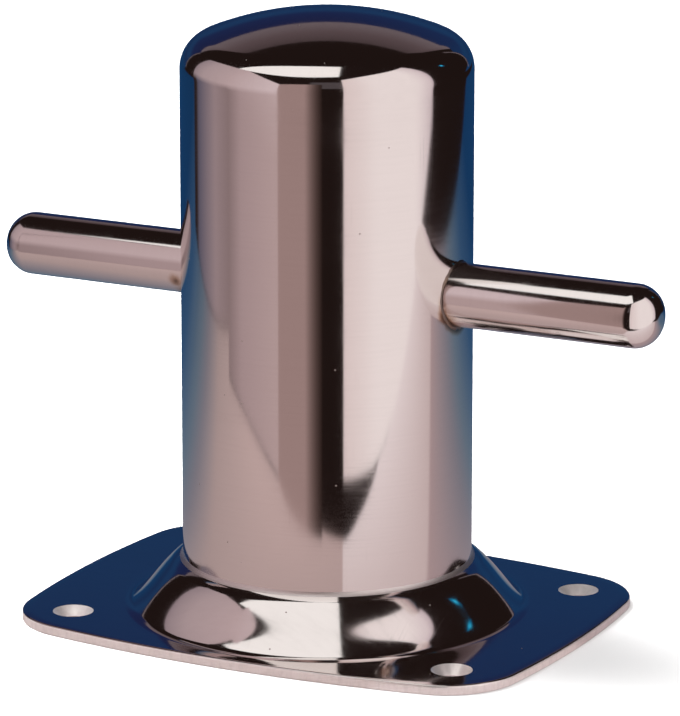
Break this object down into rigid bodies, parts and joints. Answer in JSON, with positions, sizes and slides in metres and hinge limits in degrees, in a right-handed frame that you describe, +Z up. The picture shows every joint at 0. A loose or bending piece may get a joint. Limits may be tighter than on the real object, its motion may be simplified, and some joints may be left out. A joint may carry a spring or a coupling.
{
  "type": "bollard post",
  "caption": "Polished stainless deck bollard: domed tubular post with a through cross bar, welded into the raised neck of a screw-down base plate.",
  "frame": {"origin": "centre of the base plate's underside, on the post's axis", "axes": "+Z up along the post, +X along the cross bar and the plate's long side, +Y along the plate's short side"},
  "size_m": [0.182, 0.11, 0.1545],
  "materials": {
    "polished_plate": "mirror polished stainless steel",
    "polished_tube": "mirror polished stainless steel, fine polishing lines round the pipe",
    "polished_cap": "mirror polished stainless steel",
    "polished_bar": "polished stainless steel, faint lines along the bar",
    "dressed_weld": "weld ground flush and polished",
    "raw_weld": "rippled weld bead as laid"
  },
  "bodies": {
    "root": {"base_plate": "polished_plate", "post_tube": "polished_tube", "top_cap": "polished_cap", "cross_bar": "polished_bar", "cap_weld": "dressed_weld", "neck_weld_top": "dressed_weld", "neck_weld_under": "raw_weld", "bar_weld_right": "dressed_weld", "bar_weld_left": "dressed_weld"}
  },
  "joints": []
}
